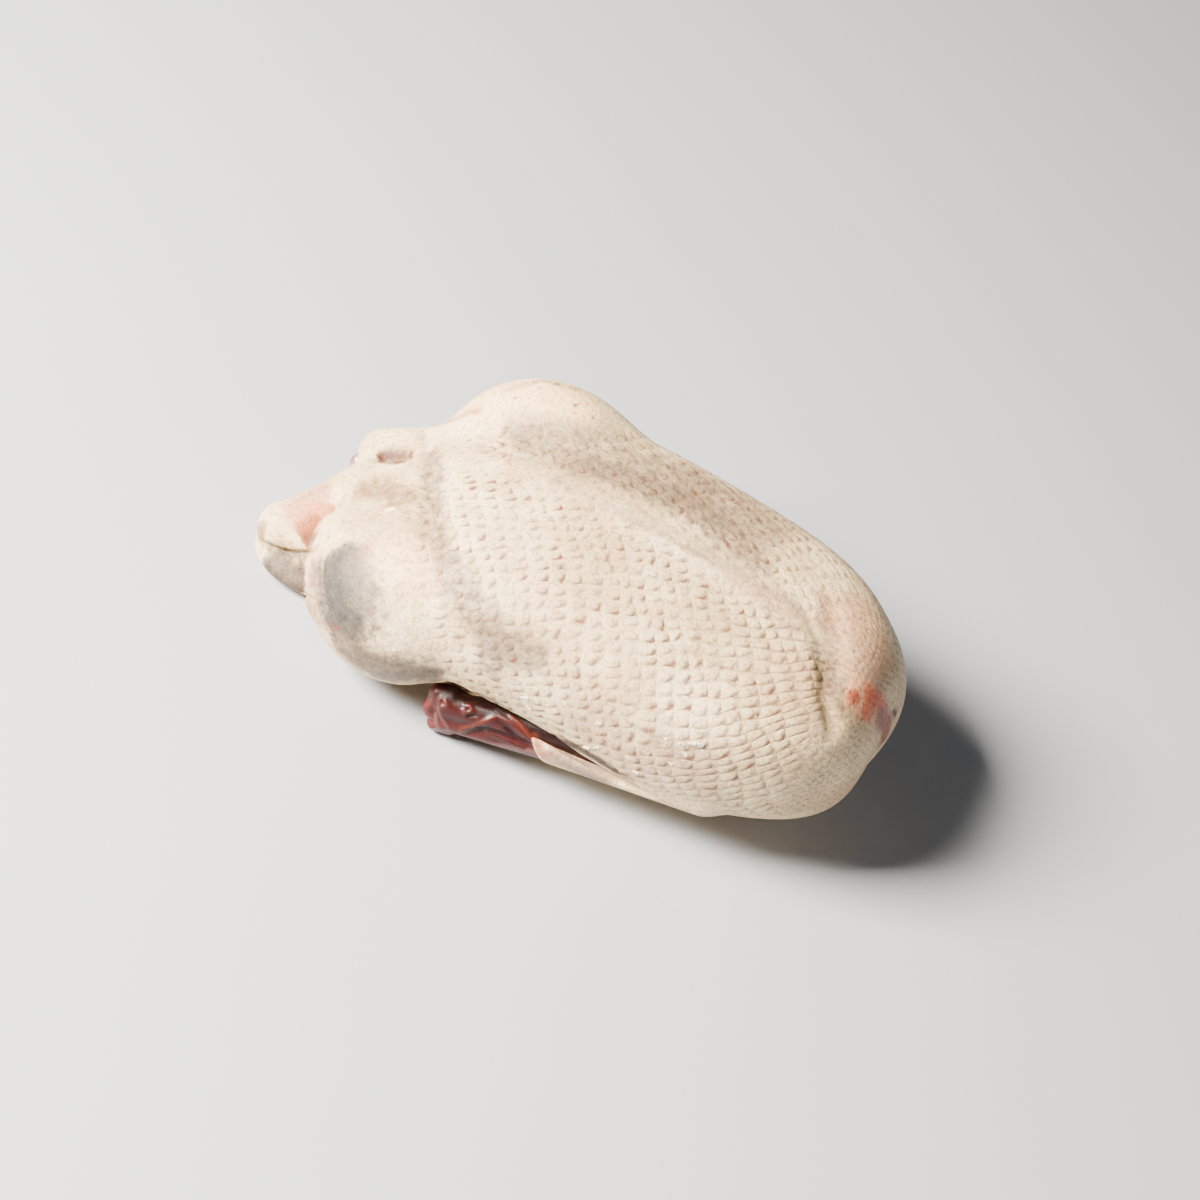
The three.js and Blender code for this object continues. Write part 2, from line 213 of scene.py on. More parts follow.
def nearest_on(track, p):
    """How far points are from a track of straight parts, and how far along it, from 0 to 1."""
    best, along = np.full(len(p), 1e9), np.zeros(len(p))
    for i, (a, b) in enumerate(zip(track[:-1], track[1:])):
        t = np.clip((p - a) @ (b - a) / max((b - a) @ (b - a), 1e-9), 0, 1)
        gap = np.linalg.norm(p - a - t[:, None] * (b - a), axis=1)
        along = np.where(gap < best, (i + t) / (len(track) - 1), along)
        best = np.minimum(gap, best)
    return best, along


def fold_height(p):
    total = np.zeros(len(p))
    for half, height, line in FOLDS:
        gap, along = nearest_on(np.array(line, float), p)
        fade = np.abs(np.sin(np.pi * along)) ** FOLD_FADE
        total += height * fade * np.exp(-2 * (gap / half) ** 2)
    return total


def skin_field(p):
    """The whole skin. The last number of each blend is the reach of its fillet in millimetres."""
    front = blend(trunk(p), ellipsoid(p, **CROP), 14)
    belt = blend(ellipsoid(p, **TAUT_SKIN), ellipsoid(p, **BELLY), 16)
    belt = blend(belt, ellipsoid(p, **UNDER_TAIL), 5)
    near = blend(ellipsoid(p, **NEAR_THIGH), capsule(p, **NEAR_SHIN), 24)
    far = blend(ellipsoid(p, **FAR_THIGH), capsule(p, **FAR_SHIN), 10)
    hind = blend(blend(belt, near, 22), far, 12)
    tail = blend(capsule(p, **TAIL), ellipsoid(p, **TAIL_LOBE), 4)
    body = blend(blend(front, hind, 12), tail, 8)
    body = blend(blend(body, sleeve(p), 4), sleeve(mirrored(p)), 4)
    for side in (p, mirrored(p)):
        body = carve(body, -capsule(side, **WING_GAP), 2)
    return carve(body - fold_height(p), PRESSED - p[:, 2], 1.5)


depth = -skin_field(np.array([[0.0, 0.0, 60.0]]))[0]
print("the middle of the bird lies", round(depth), "mm under the skin")

# %% [markdown]
# A field becomes a mesh on a grid. Where it changes sign along a grid edge, the four cells round
# that edge get one corner each and share a face. Blender's volume nodes could do this too, but
# here the corners are then evened out and moved back onto the surface, so the mesh is regular.

# %% From field to mesh
STRIDE, CLOSE_CELLS, BATCHES = 3, 5, 20


def sample(field, low, high, cell):
    """The field on a grid, worked out in full only near the surface."""
    count = STRIDE * np.ceil((np.array(high) - low) / (STRIDE * cell)).astype(int) + 1
    axes = [low[i] + cell * np.arange(count[i]) for i in range(3)]
    coarse = np.stack(np.meshgrid(*[a[::STRIDE] for a in axes], indexing="ij"), -1)
    rough = field(coarse.reshape(-1, 3)).reshape(coarse.shape[:3])
    nearest = [np.round(np.arange(n) / STRIDE).astype(int) for n in count]
    level = rough[np.ix_(*nearest)]
    close = np.argwhere(np.abs(level) < CLOSE_CELLS * cell)
    points = np.stack([axes[i][close[:, i]] for i in range(3)], 1)
    level[tuple(close.T)] = np.concatenate([field(part) for part in np.array_split(points, BATCHES)])
    return level


def corners_and_faces(level, low, cell):
    rings, crossings = [], []
    step = np.eye(3, dtype=int)
    for axis in range(3):
        ahead = np.roll(level, -1, axis)
        crossed = (level < 0) != (ahead < 0)
        crossed[(slice(None),) * axis + (-1,)] = False
        start = np.argwhere(crossed)
        here, there = level[tuple(start.T)], ahead[tuple(start.T)]
        point = start + step[axis] * (here / (here - there))[:, None]
        u, v = step[(axis + 1) % 3], step[(axis + 2) % 3]
        ring = np.stack([start, start - u, start - u - v, start - v], 1)
        ring[here >= 0] = ring[here >= 0, ::-1]
        rings.append(ring)
        crossings.append(np.repeat(point, 4, 0))
    rings, crossings = np.concatenate(rings), np.concatenate(crossings)
    ids = np.ravel_multi_index(rings.reshape(-1, 3).T, level.shape)
    _, faces = np.unique(ids, return_inverse=True)
    count = np.bincount(faces)
    mean = np.stack([np.bincount(faces, crossings[:, i]) / count for i in range(3)], 1)
    return low + mean * cell, faces.reshape(-1, 4)


def settled(field, corners, faces, rounds=4):
    a, b = faces.ravel(), np.roll(faces, -1, 1).ravel()
    count = np.bincount(a, minlength=len(corners)) + np.bincount(b, minlength=len(corners))
    for _ in range(rounds):
        total = np.stack([np.bincount(a, corners[b, i], len(corners))
                          + np.bincount(b, corners[a, i], len(corners)) for i in range(3)], 1)
        corners = 0.5 * corners + 0.5 * total / count[:, None]
        slope = gradient(field, corners)
        corners = corners - slope * (field(corners) / ((slope**2).sum(1) + 1e-6))[:, None]
    return corners


def surface(field, low, high, cell):
    low = np.array(low, float)
    corners, faces = corners_and_faces(sample(field, low, high, cell), low, cell)
    return settled(field, corners, faces), faces


SKIN_ROOM = (-190, -116, -6), (182, 116, 150)
skin_corners, skin_faces = surface(skin_field, *SKIN_ROOM, SKIN_CELL)
print("skin:", len(skin_faces), "faces, about", 2 * len(skin_faces), "triangles")

# %% [markdown]
# The camera. The photograph shows the bird from its own left, 43 degrees from above, and rolled.
# With the same camera, any pixel of it can be carried onto the mesh as a ray.

# %% Camera at the photograph's viewing angle
VIEW_TURN, VIEW_RISE, VIEW_ROLL = 3.0, 43.0, 26.0
VIEW_DISTANCE = 1484.0
VIEW_TARGET = np.array([2.2, 17.5, 48.5])
LENS, SENSOR, PHOTO_SIDE = 85.0, 36.0, 1200

turn, rise, roll = (math.radians(v) for v in (VIEW_TURN, VIEW_RISE, VIEW_ROLL))
towards = np.array([math.sin(turn) * math.cos(rise), -math.cos(turn) * math.cos(rise), math.sin(rise)])
level_right = np.array([math.cos(turn), math.sin(turn), 0])
level_up = np.cross(towards, level_right)
cam_right = math.cos(roll) * level_right + math.sin(roll) * level_up
cam_up = math.cos(roll) * level_up - math.sin(roll) * level_right
cam_place = VIEW_TARGET + towards * VIEW_DISTANCE


def show(name, data):
    made = bpy.data.objects.new(name, data)
    bpy.context.scene.collection.objects.link(made)
    return made


def ray(pixel):
    focal = LENS / SENSOR * PHOTO_SIDE
    x, y = (pixel[0] - PHOTO_SIDE / 2) / focal, (PHOTO_SIDE / 2 - pixel[1]) / focal
    direction = -towards + cam_right * x + cam_up * y
    return direction / np.linalg.norm(direction)


camera = show("camera", bpy.data.cameras.new("camera"))
camera.data.lens, camera.data.sensor_width = LENS, SENSOR
axes = Matrix([cam_right, cam_up, towards]).transposed().to_4x4()
camera.matrix_world = Matrix.Translation((cam_place - ORIGIN) * MM) @ axes
bpy.context.scene.camera = camera
print("camera", round(VIEW_DISTANCE), "mm away")

# %% [markdown]
# The light. One soft, warm light comes from the tail's side. It is settled before any colour,
# because paint has to be darker where the light is strong to look as it does in the photograph.

# %% The light
KEY_DIRECTION = np.array([-0.66, -0.42, 0.62])
KEY_POWER, FILL_POWER, WORLD_STRENGTH = 252, 4, 0.07
KEY_COLOUR = (1.0, 0.93, 0.82)
# How bright white paint is in the shade, and what the key light adds where it falls straight on it.
SHADE_BRIGHTNESS, KEY_BRIGHTNESS = 0.9, 5.6
KEY_DIRECTION /= np.linalg.norm(KEY_DIRECTION)
print("key light", KEY_POWER, "W from", KEY_DIRECTION.round(2))

# %% [markdown]
# Strokes. Folds and bruises could be sculpted by hand, but a written brush stroke can be changed
# later: a path of pixels of the photograph, carried onto the mesh by rays, with a half width and a
# height in millimetres, a colour as it looks in the photograph, and the share of it that covers.

# %% Strokes
BLEED = 0.04


def pigment(colour, lit):
    """The linear colour that shows as this screen colour, 0 to 255, where the light is so bright.
    Blender's view pales bright colours, and a logistic curve and a little bleeding undo that."""
    d = np.clip(np.array(colour, float) / 255, 0.02, 0.975)
    odds = np.log(d / (1 - d))
    seen = np.exp(-1.387 + 1.230 * odds - 0.105 * odds**2)
    pure = np.maximum((seen - BLEED * seen.sum()) / (1 - 3 * BLEED), 0.004)
    return np.minimum(pure / lit, 0.95)


class Sculpt:
    """A mesh with its normals, a layer of paint and strokes that raise, sink or tint it."""

    def __init__(self, corners, faces, gloss=1.0):
        """Gloss is how much brighter than dry skin the piece looks. The tree keeps the first form."""
        self.corners, self.faces, self.gloss = corners, faces, gloss
        self.tree = BVHTree.FromPolygons(corners.tolist(), faces.tolist())
        self.paint = np.zeros((len(corners), 4))

    def normals(self):
        p = self.corners[self.faces]
        face = np.cross(p[:, 2] - p[:, 0], p[:, 3] - p[:, 1])
        total = np.zeros_like(self.corners)
        for i in range(4):
            np.add.at(total, self.faces[:, i], face)
        return total / (np.linalg.norm(total, axis=1)[:, None] + 1e-12)

    def pinned(self, pixel):
        """The point of the mesh that shows at a pixel of the photograph."""
        hit = self.tree.ray_cast(Vector(cam_place), Vector(ray(pixel)))[0]
        return None if hit is None else np.array(hit)

    def brightness(self, weight):
        """How brightly the key light and the shade light a stroke, on the side that the camera sees."""
        normals = self.normals()
        weight = weight * (normals @ towards > 0)
        facing = np.maximum(normals @ KEY_DIRECTION, 0)
        lit = SHADE_BRIGHTNESS + KEY_BRIGHTNESS * (facing * weight).sum() / (weight.sum() + 1e-9)
        return lit * self.gloss

    def line(self, pixels, spacing=4):
        """Points on the mesh along a path of pixels."""
        points = []
        for a, b in zip(pixels[:-1], pixels[1:]):
            steps = max(1, int(math.dist(a, b) / spacing))
            for i in range(steps):
                points.append(self.pinned(np.add(a, np.subtract(b, a) * (i / steps))))
        points.append(self.pinned(pixels[-1]))
        return np.array([p for p in points if p is not None])

    def weight(self, points, half):
        """How far each corner takes part in a stroke. Long strokes fade at both ends."""
        close = (self.corners > points.min(0) - 3 * half) & (self.corners < points.max(0) + 3 * half)
        rows = np.nonzero(close.all(1))[0]
        track = points if len(points) > 1 else np.repeat(points, 2, 0)
        gap, along = nearest_on(track, self.corners[rows])
        fade = np.clip(np.minimum(along, 1 - along) * 5, 0, 1) ** 0.5 if len(points) > 1 else 1.0
        weight = np.zeros(len(self.corners))
        weight[rows] = fade * np.exp(-2 * (gap / half) ** 2)
        return weight

    def stroke(self, pixels, half, height=0.0, colour=None, cover=0.0):
        weight = self.weight(self.line(pixels), half)
        if height:
            self.corners = self.corners + self.normals() * (height * weight)[:, None]
        if colour is not None:
            share = smooth(0.1, 0.9, weight**0.5) * cover
            old = self.paint[:, 3] * (1 - share)
            alpha = old + share
            tint = pigment(colour, self.brightness(weight))
            mixed = self.paint[:, :3] * old[:, None] + tint * share[:, None]
            self.paint[:, :3] = mixed / np.maximum(alpha, 1e-6)[:, None]
            self.paint[:, 3] = alpha

    def piece(self, name, **attributes):
        mesh = bpy.data.meshes.new(name)
        mesh.from_pydata(((self.corners - ORIGIN) * MM).tolist(), [], self.faces.tolist())
        mesh.shade_smooth()
        paint = mesh.attributes.new("paint", "FLOAT_COLOR", "POINT")
        paint.data.foreach_set("color", self.paint.astype(np.float32).ravel())
        for key, values in attributes.items():
            kind, field = ("FLOAT_VECTOR", "vector") if values.ndim == 2 else ("FLOAT", "value")
            layer = mesh.attributes.new(key, kind, "POINT")
            layer.data.foreach_set(field, values.astype(np.float32).ravel())
        return show(name, mesh)


skin = Sculpt(skin_corners, skin_faces)

# %% [markdown]
# The skin's own map. Feather pits sit in rows that run slantwise from the breast bone, mirrored on
# the far side. A picture of them would stretch, so each corner gets its place in their lattice: how
# far along the bird, and how far round from the breast bone, turned by the slant of the rows.

# %% The lattice of feather pits
ROW_SLANT = math.radians(29)
PIT_PITCH = (8.5, 6.9)
FINE_PITCH = 3.3
NECK_SWEEP = 0.006
ARC_STEPS = 181


def arc_from_keel(p):
    """How far round the trunk a point lies, measured along the skin from the breast bone."""
    x = np.linspace(-150, 160, 63)
    angle = np.linspace(0, math.pi, ARC_STEPS)
    rise, side = np.cos(angle)[None], np.sin(angle)[None]
    top, bottom = (breast(x) - widest(x))[:, None], (widest(x) - back(x))[:, None]
    height = np.where(rise > 0, top, bottom)
    power = np.where(rise > 0, BREAST_POWER, BACK_POWER)
    reach = (np.abs(rise / height) ** power + (side / half_width(x)[:, None]) ** power) ** (-1 / power)
    steps = np.hypot(np.diff(reach * rise, axis=1), np.diff(reach * side, axis=1))
    arc = np.concatenate([np.zeros((len(x), 1)), np.cumsum(steps, 1)], 1)
    turn = np.arctan2(np.abs(p[:, 1]), p[:, 2] - widest(p[:, 0])) / math.pi * (ARC_STEPS - 1)
    place = (np.clip(p[:, 0], x[0], x[-1]) - x[0]) / (x[1] - x[0])
    i, j = np.minimum(place.astype(int), len(x) - 2), np.minimum(turn.astype(int), ARC_STEPS - 2)
    u, v = place - i, turn - j
    near = arc[i, j] * (1 - v) + arc[i, j + 1] * v
    far = arc[i + 1, j] * (1 - v) + arc[i + 1, j + 1] * v
    return near * (1 - u) + far * u


def lattice(p):
    """Places counted in pits. Waves, from long to short, keep the rows from being ruled lines."""
    along, across = p[:, 0], arc_from_keel(p)
    across = across + NECK_SWEEP * np.maximum(along - 80, 0) ** 2
    across = across + 2.2 * np.sin(along / 31 + 1) + 1.5 * np.sin(along / 13 + across / 21)
    along = along + 2.0 * np.sin(across / 27 + 2) + 1.4 * np.sin(across / 11 - along / 19)
    across = across + 0.9 * np.sin(along / 3.9 + across / 8.3)
    along = along + 0.9 * np.sin(across / 4.3 - along / 9.1)
    across = across + 0.45 * np.sin(along / 1.3 + across / 2.3)
    along = along + 0.45 * np.sin(across / 1.5 - along / 2.6)
    row = math.cos(ROW_SLANT) * along - math.sin(ROW_SLANT) * across
    column = math.sin(ROW_SLANT) * along + math.cos(ROW_SLANT) * across
    return np.stack([row / PIT_PITCH[0], column / PIT_PITCH[1], np.zeros(len(p))], 1)


def fine_lattice(p):
    u = (p[:, 1] + p[:, 2] + 1.5 * np.sin(p[:, 2] / 9)) / FINE_PITCH * 0.7
    v = (p[:, 2] - p[:, 1] + 1.5 * np.sin(p[:, 1] / 8)) / FINE_PITCH * 0.7
    return np.stack([u, v, np.zeros(len(p))], 1)


def pit_strength(p):
    """Where the coarse lattice, the fine one and the creases between pits show."""
    on_legs = np.minimum(ellipsoid(p, **NEAR_THIGH), ellipsoid(p, **FAR_THIGH)) - trunk(p)
    body = smooth(-4, 5, on_legs) * 0.75 + 0.25
    rear = smooth(-112, -84, p[:, 0])
    front = 1 - smooth(112, 136, p[:, 0] + 0.10 * p[:, 1])
    side = np.where(p[:, 1] > 0, 0.75, 1.0)
    side = side + (1 - side) * smooth(12, 0, p[:, 1])
    keel = 1 - 0.9 * np.exp(-(((p[:, 1] + 0.03 * p[:, 0]) / 9) ** 2)) * (p[:, 2] > 80)
    wing = smooth(0, 6, np.minimum(sleeve(p), sleeve(mirrored(p))))
    tail = smooth(0, 8, np.minimum(capsule(p, **TAIL), ellipsoid(p, **TAIL_LOBE)))
    coarse = body * rear * front * side * keel * wing * tail
    fine = smooth(108, 132, p[:, 0] + 0.10 * p[:, 1])
    creased = smooth(20, 110, p[:, 0]) * np.where(p[:, 1] > 0, 0.4, 1.0) * coarse
    return coarse, fine, creased


WING_SIDE = [(470, 706), (540, 742), (600, 772), (645, 797)]
coarse_pits, fine_pits, creased = pit_strength(skin.corners)
wing_side = skin.weight(skin.line(WING_SIDE), 7)
patchy = np.sin(skin.corners @ (0.06, 0.09, 0.04)) * np.sin(skin.corners @ (0.05, -0.07, 0.11) + 1)
coarse_pits = coarse_pits * (1 - smooth(0.1, 0.5, wing_side)) * (0.85 + 0.2 * patchy)
print("corners with coarse pits:", int((coarse_pits > 0.3).sum()), "of", len(skin.corners))

# %% [markdown]
# Folds, tears and creases. Skin gathers at tail and thighs, and ends ragged where the wing was cut.
# Bump would leave the outline smooth, so strokes move the mesh itself.

# %% Folds, tears and creases of the skin
# Each row is a path of pixels, a half width and a height.
SKIN_SHAPES = [
    ([(259, 541), (268, 546), (280, 551), (292, 553), (306, 554), (318, 549)], 1.9, -4.5),
    ([(266, 548), (271, 556)], 0.9, -1), ([(318, 550), (311, 560), (307, 578), (311, 592)], 2.6, 1.4),
    ([(324, 549), (318, 560), (316, 580), (318, 596)], 2.4, 1.8),
    ([(320, 552), (313, 568), (312, 585)], 1.2, -1.6),
    ([(327, 546), (321, 562), (321, 585), (325, 605), (332, 628)], 1.8, -3),
    ([(300, 590), (306, 596), (316, 602)], 1.6, -2.5),
    ([(353, 470), (348, 485), (342, 500), (337, 512)], 1.6, 1.3),
    ([(348, 471), (343, 486), (337, 500), (331, 514)], 2, -2.2),
    ([(378, 459), (392, 456), (404, 456), (412, 458)], 4.2, -4.2),
    ([(382, 467), (396, 466), (410, 463)], 1.8, 1), ([(362, 462), (372, 458), (380, 456)], 2.4, 0.9),
    ([(382, 512), (392, 509), (398, 508)], 2, 1), ([(399, 512), (392, 516)], 1.4, -1),
    ([(432, 425), (424, 434), (430, 452)], 4, -2.6),
    ([(430, 470), (431, 492), (426, 515), (430, 540)], 5, -2),
    ([(590, 498), (640, 522), (690, 547), (722, 565)], 3.4, -0.8),
    ([(826, 590), (834, 625), (838, 660), (838, 700)], 9, -2.2),
    ([(400, 684), (420, 680), (440, 673), (452, 674)], 3, -2.4),
    ([(868, 764), (876, 757), (884, 748)], 6, -3), ([(560, 737), (600, 760), (640, 786)], 2.2, -3),
]
for path, half, height in SKIN_SHAPES:
    skin.stroke(path, half, height)


def between(a, b, share):
    return tuple(p + (q - p) * share for p, q in zip(a, b))


# The ragged edge of the wing's skin.
EDGE_START, EDGE_END = (448, 680), (628, 774)
EDGE_NICKS, NICK_HEIGHTS = 22, (0.9, -0.8, 0.5)
for n in range(EDGE_NICKS):
    skin.stroke([between(EDGE_START, EDGE_END, n / EDGE_NICKS)], 1.6, NICK_HEIGHTS[n % 3])
# Single pits, which the finish makes dark.
DARK_PITS = [(328, 537), (343, 522), (333, 555), (504, 456), (895, 713)]
for pin in DARK_PITS:
    skin.stroke([pin], 1.5, -0.5)
# Wrinkles side by side over the tail, from the first one to the last.
RIDGE_TOPS, RIDGE_ENDS = ((266, 512), (326, 472)), ((276, 543), (328, 531))
TAIL_RIDGES, RIDGE_BOW = 9, 4
for n in range(TAIL_RIDGES):
    start, end = (between(*pair, n / (TAIL_RIDGES - 1)) for pair in (RIDGE_TOPS, RIDGE_ENDS))
    middle = (start[0] + end[0]) / 2 - RIDGE_BOW, (start[1] + end[1]) / 2
    skin.stroke([start, middle, end], 1.4, 0.5)
print(len(SKIN_SHAPES) + EDGE_NICKS + len(DARK_PITS) + TAIL_RIDGES, "strokes shape the skin")

# %% [markdown]
# Stains, bruises and painted shade. Blood and drying mark the tail, the gap between the legs and the
# neck end. A painted picture could hold them, but this mesh is fine enough to hold paint in its
# corners. Some strokes are painted shade: in the valleys and creases by the legs, under the near leg,
# along the gap over the wing, on the far side of the breast bone and over the neck end.

# %% Stains, bruises, paler patches and painted shade of the skin
# Each row is a path of pixels, a half width, a colour and the share of it that covers.
SKIN_STAINS_AND_SHADE = [
    # Painted shade on the far side of the breast bone, which faces away from the key light.
    ([(500, 428), (600, 450), (700, 490), (790, 545)], 24, (184, 166, 146), 0.65),
    ([(440, 406), (520, 392), (600, 408)], 14, (250, 240, 224), 0.8),
    ([(334, 548), (338, 600), (350, 642)], 24, (104, 97, 92), 0.97),
    ([(350, 550), (366, 590), (360, 615)], 10, (196, 182, 168), 0.7),
    # Painted shade along the lower edge of the near leg, under it.
    ([(332, 642), (385, 672), (445, 678)], 16, (108, 88, 70), 0.92),
    ([(366, 545), (372, 552)], 7, (232, 186, 156), 0.5),
    ([(385, 530), (415, 560), (430, 600)], 17, (244, 232, 216), 0.6),
    # Painted shade in the valley between breast and belly, then in the crease between thigh and flank, and
    # in a patch below that crease (this row and the next two).
    ([(430, 445), (434, 480), (434, 520), (448, 570)], 8, (184, 162, 136), 0.7),
    ([(448, 556), (468, 606), (498, 642), (548, 662)], 12, (178, 158, 136), 0.7),
    ([(480, 650), (505, 668)], 15, (190, 172, 156), 0.65),
    ([(352, 492), (380, 488), (415, 502)], 11, (208, 180, 146), 0.8),
    ([(280, 515), (300, 505), (332, 488)], 12, (236, 216, 196), 0.8),
    ([(304, 542), (314, 524), (330, 502)], 15, (236, 200, 158), 0.9),
    ([(304, 541), (312, 530), (320, 516)], 11, (212, 154, 96), 0.97),
    ([(303, 544), (316, 538)], 6.5, (186, 118, 66), 0.9),
    ([(258, 558), (280, 572), (304, 590)], 13, (124, 106, 80), 0.97),
    # Painted shade in the tail slit.
    ([(260, 543), (280, 552), (308, 556)], 2.6, (92, 68, 44), 1),
    ([(316, 558), (310, 588)], 4, (216, 180, 166), 0.85),
    ([(300, 560), (303, 590)], 2.4, (150, 118, 98), 0.9),
    ([(322, 556), (320, 585), (324, 604)], 2.4, (156, 124, 108), 0.9),
    ([(306, 604), (318, 616)], 7, (206, 180, 152), 0.75),
    ([(329, 622), (333, 632)], 1.8, (168, 92, 74), 0.9),
    # The hollow at the hock: a reddish colour of its own, darkened further as painted shade.
    ([(376, 456), (392, 455), (410, 458)], 6.5, (160, 104, 74), 1),
    ([(364, 460), (376, 457)], 2.2, (255, 248, 238), 0.95),
    ([(384, 511), (396, 509)], 2.2, (255, 247, 236), 0.95),
    ([(440, 425), (470, 412), (484, 410)], 3.2, (226, 180, 148), 0.65),
    ([(557, 383), (560, 385)], 1.5, (176, 138, 110), 0.8),
    ([(574, 404), (578, 406)], 1.5, (186, 144, 112), 0.8),
    ([(503, 456), (505, 457)], 2.2, (190, 128, 96), 0.85),
    ([(470, 446), (500, 455), (520, 466)], 4, (232, 200, 178), 0.5),
    ([(540, 474), (590, 497), (650, 526), (720, 566)], 3.4, (203, 180, 170), 0.45),
    ([(720, 570), (770, 597), (810, 622)], 6, (224, 200, 182), 0.5),
    # Painted shade in the groove at the neck end, and over the neck end, which lies away from the key light
    # (this row and the next).
    ([(824, 590), (836, 640), (838, 680), (848, 720)], 8, (156, 138, 116), 0.75),
    ([(845, 590), (872, 650), (880, 700)], 26, (213, 189, 164), 0.8),
    ([(848, 686), (862, 698), (880, 712)], 12, (220, 176, 148), 0.8),
    ([(851, 690), (858, 704)], 6, (190, 116, 88), 0.95),
    ([(864, 694), (878, 702), (886, 714)], 7.5, (184, 108, 82), 0.95),
    ([(862, 708), (872, 716)], 5, (190, 120, 92), 0.9),
    ([(876, 714), (887, 724), (884, 742)], 7.5, (132, 76, 66), 0.97),
    ([(893, 710), (896, 716)], 2.2, (60, 32, 30), 1),
    ([(560, 700), (640, 755), (720, 770)], 17, (206, 184, 164), 0.55),
    # Painted shade on the underside above the wing.
    ([(545, 750), (590, 775), (640, 800)], 9, (176, 153, 136), 0.85),
    ([(534, 730), (538, 745), (545, 760)], 3.5, (206, 150, 128), 0.85),
    # More painted shade on the far side, next to the breast bone.
    ([(560, 462), (620, 474), (690, 505), (775, 575)], 13, (172, 152, 132), 0.7),
    ([(700, 545), (770, 590), (800, 640)], 12, (216, 198, 178), 0.5),
    ([(500, 392), (540, 380), (590, 392)], 3, (214, 182, 152), 0.5),
    ([(262, 520), (258, 540)], 6, (206, 180, 150), 0.8),
    # A painted shadow line along the gap between flank and wing (this row and the next).
    ([(440, 682), (480, 694), (510, 709)], 2, (110, 84, 70), 0.8),
    ([(540, 728), (580, 750), (634, 783)], 2.4, (64, 42, 34), 1),
]
for path, half, colour, cover in SKIN_STAINS_AND_SHADE:
    skin.stroke(path, half, colour=colour, cover=cover)
print("painted corners:", int((skin.paint[:, 3] > 0.1).sum()))

# %% Where quill stubs stand
# Each row is a path of pixels, a half width and how thickly they stand.
QUILL_PATHS = [
    ([(480, 688), (540, 712), (600, 746), (660, 780)], 10, 0.6),
    ([(560, 690), (640, 735), (720, 770)], 16, 0.6), ([(392, 640), (430, 655)], 10, 0.2),
    ([(340, 540), (352, 600)], 9, 0.2),
]
quills = np.zeros(len(skin.corners))
for path, half, crowd in QUILL_PATHS:
    quills += crowd * skin.weight(skin.line(path), half)
print("corners with quill stubs:", int((quills > 0.1).sum()))

# %% [markdown]
# Shader maths. Plain arithmetic is easier to read than wires, so a socket is wrapped in a class
# whose operators add Math nodes. Every other node comes from one method that takes its type, its
# settings and what goes into its sockets.

# %% A socket that can be added and multiplied
def linear(colour):
    """A colour as seen on screen, 0 to 255, in the linear values that a shader works with."""
    c = np.array(colour) / 255
    return tuple(np.where(c <= 0.04045, c / 12.92, ((c + 0.055) / 1.055) ** 2.4))


def operator(operation):
    return lambda self, *others: self.maths(operation, *others)


class Wire:
    __add__ = __radd__ = operator("ADD")
    __mul__ = __rmul__ = operator("MULTIPLY")
    __sub__, __truediv__, __pow__ = operator("SUBTRACT"), operator("DIVIDE"), operator("POWER")
    floor = operator("FLOOR")

    def __init__(self, graph, socket):
        self.graph, self.socket = graph, socket

    def __rsub__(self, other):
        return (self * -1) + other

    def maths(self, operation, *others):
        return self.graph.node("ShaderNodeMath", {"operation": operation},
                               dict(enumerate((self, *others))))

    def bell(self, width):
        """1 at zero, falling to nothing over about twice the width."""
        return ((self / width) ** 2 * -1).maths("EXPONENT")

    def clamped(self):
        return self.maths("MAXIMUM", 0.0).maths("MINIMUM", 1.0)

    def above(self, level, steepness):
        """0 up to a level, and from there a rise to 1."""
        return ((self - level) * steepness).clamped()

    def vector(self, operation, *others, output=0):
        inputs = dict(enumerate((self, *others)))
        return self.graph.node("ShaderNodeVectorMath", {"operation": operation}, inputs, output)

    def scaled(self, factor):
        return self.graph.node("ShaderNodeVectorMath", {"operation": "SCALE"}, {0: self, 3: factor})


class Graph:
    def __init__(self, tree):
        self.tree = tree

    def node(self, kind, settings=None, inputs=None, output=0):
        made = self.tree.nodes.new(kind)
        for key, value in (settings or {}).items():
            setattr(made, key, value)
        for key, value in (inputs or {}).items():
            if isinstance(value, Wire):
                self.tree.links.new(value.socket, made.inputs[key])
            else:
                made.inputs[key].default_value = value
        return Wire(self, made.outputs[output]) if made.outputs else None

    def noise(self, position, scale, detail=3.0, roughness=0.5, output=0):
        return self.node("ShaderNodeTexNoise", None, {
            "Vector": position, "Scale": scale, "Detail": detail, "Roughness": roughness}, output)

    def mixed(self, share, first, second):
        """One colour over another. Colours are wires or screen values from 0 to 255."""
        first, second = (c if isinstance(c, Wire) else (*linear(c), 1) for c in (first, second))
        return self.node("ShaderNodeMix", {"data_type": "RGBA"}, {0: share, 6: first, 7: second}, 2)


# In the lattice every pit has a square of side 1 to itself.
PIT_RADIUS, PIT_STRAY, GROOVE_WIDTH = 0.36, 0.18, 0.17
SEAM_WIDTH, END_SEAM_WIDTH, END_SEAM = 0.09, 0.07, 0.6


